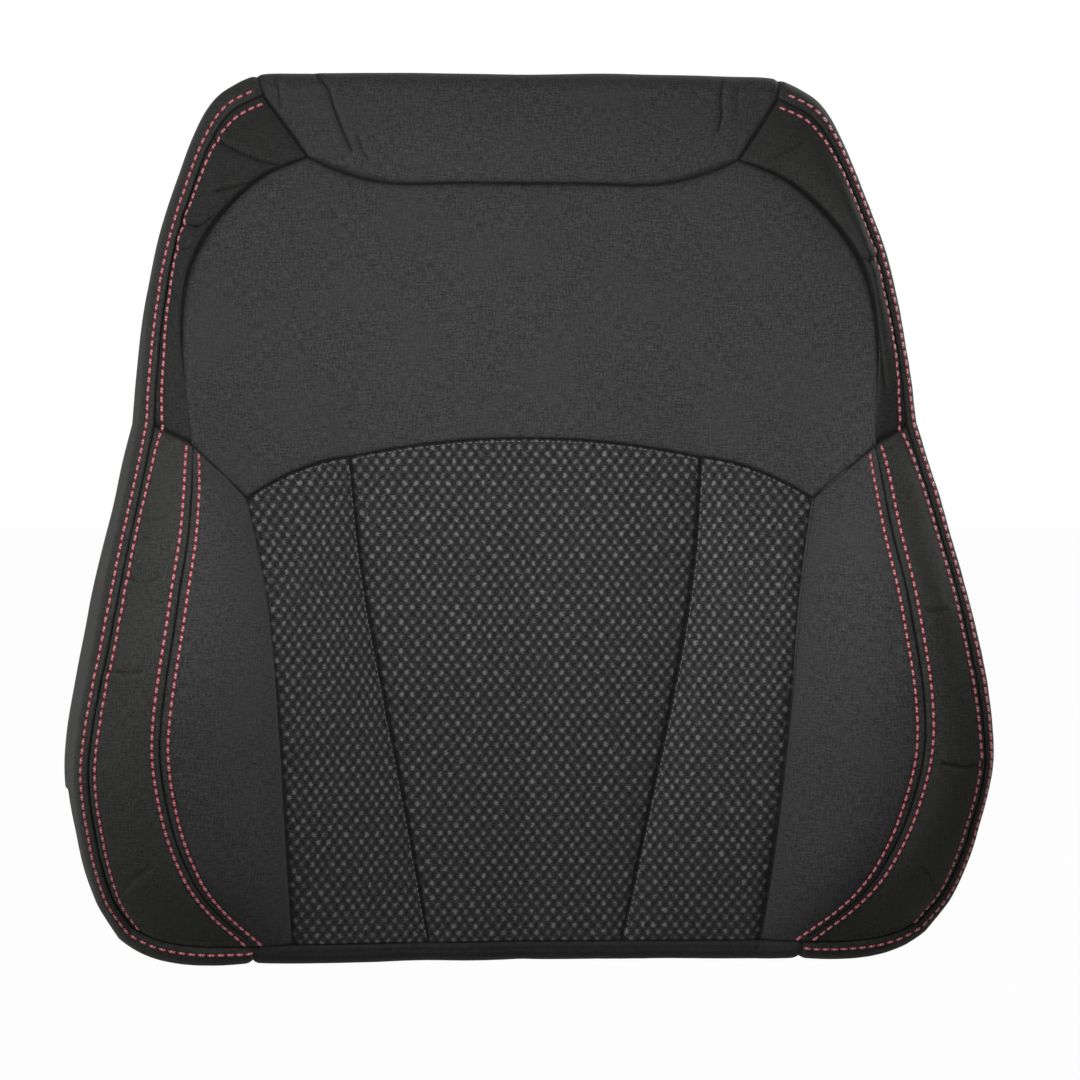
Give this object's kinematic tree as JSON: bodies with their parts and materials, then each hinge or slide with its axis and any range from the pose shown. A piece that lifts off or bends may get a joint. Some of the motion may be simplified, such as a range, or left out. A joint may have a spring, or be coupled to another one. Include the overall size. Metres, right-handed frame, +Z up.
{
  "type": "sport seat backrest",
  "caption": "Bolstered sport seat backrest: sewn cloth cover with a mesh centre over a foam pad and steel frame, moulded rear panel, headrest guides and round recliners.",
  "frame": {"origin": "centre of the backrest's bounding box at its bottom edge", "axes": "+Z up, -Y is the side that the occupant leans on, +X to the right as seen from the front"},
  "size_m": [0.5502, 0.1904, 0.5343],
  "materials": {
    "mesh_cloth": "matte",
    "plain_cloth": "matte",
    "wing_cloth": "matte",
    "flap_cloth": "matte",
    "moulded_foam": "matte",
    "panel_plastic": "matte",
    "clip_plastic": "satin",
    "frame_paint": "satin",
    "wire_steel": "satin",
    "paper_cord": "matte",
    "guide_plastic": "satin",
    "button_plastic": "satin",
    "plated_steel": "satin",
    "ring_steel": "satin",
    "shaft_steel": "satin",
    "clip_steel": "satin"
  },
  "bodies": {
    "recliner_base": {"recliner_base_plate_left": "plated_steel", "recliner_base_plate_right": "plated_steel"},
    "backrest": {"mesh_centre_panel": "mesh_cloth", "mesh_side_panel_left": "mesh_cloth", "mesh_side_panel_right": "mesh_cloth", "bolster_panel_left": "plain_cloth", "bolster_panel_right": "plain_cloth", "bolster_wing_left": "wing_cloth", "bolster_wing_right": "wing_cloth", "shoulder_yoke": "plain_cloth", "shoulder_wing_left": "wing_cloth", "shoulder_wing_right": "wing_cloth", "top_panel": "plain_cloth", "side_gusset_left": "wing_cloth", "side_gusset_right": "wing_cloth", "bottom_flap": "flap_cloth", "foam_pad": "moulded_foam", "rear_panel": "panel_plastic", "rear_panel_clips": "clip_plastic", "side_member_left": "frame_paint", "side_member_right": "frame_paint", "hoop_tube": "frame_paint", "hanger_rod": "wire_steel", "lower_cross_member": "frame_paint", "suspension_mat": "wire_steel", "mat_cords": "paper_cord", "headrest_socket_left": "frame_paint", "headrest_socket_right": "frame_paint", "headrest_guide_left": "guide_plastic", "headrest_guide_right": "guide_plastic", "recliner_gear_plate_left": "plated_steel", "recliner_gear_plate_right": "plated_steel", "recliner_ring_left": "ring_steel", "recliner_ring_right": "ring_steel"},
    "release_shaft": {"release_shaft": "shaft_steel", "shaft_clips": "clip_steel"},
    "lock_button": {"guide_lock_button": "button_plastic"}
  },
  "joints": [
    {"name": "recline", "type": "hinge", "parent": "recliner_base", "child": "backrest", "pos_m": [0, 0.054, 0.062], "axis": [-1, 0, 0], "range_deg": [-25, 60]},
    {"name": "recliner_release", "type": "hinge", "parent": "recliner_base", "child": "release_shaft", "pos_m": [0, 0.054, 0.062], "axis": [1, 0, 0], "range_deg": [0, 30], "stiffness_Nm_per_rad": 3},
    {"name": "guide_lock", "type": "slide", "parent": "backrest", "child": "lock_button", "axis": [-1, 0, 0], "range_m": [0, 0.0035], "stiffness_N_per_m": 600}
  ]
}
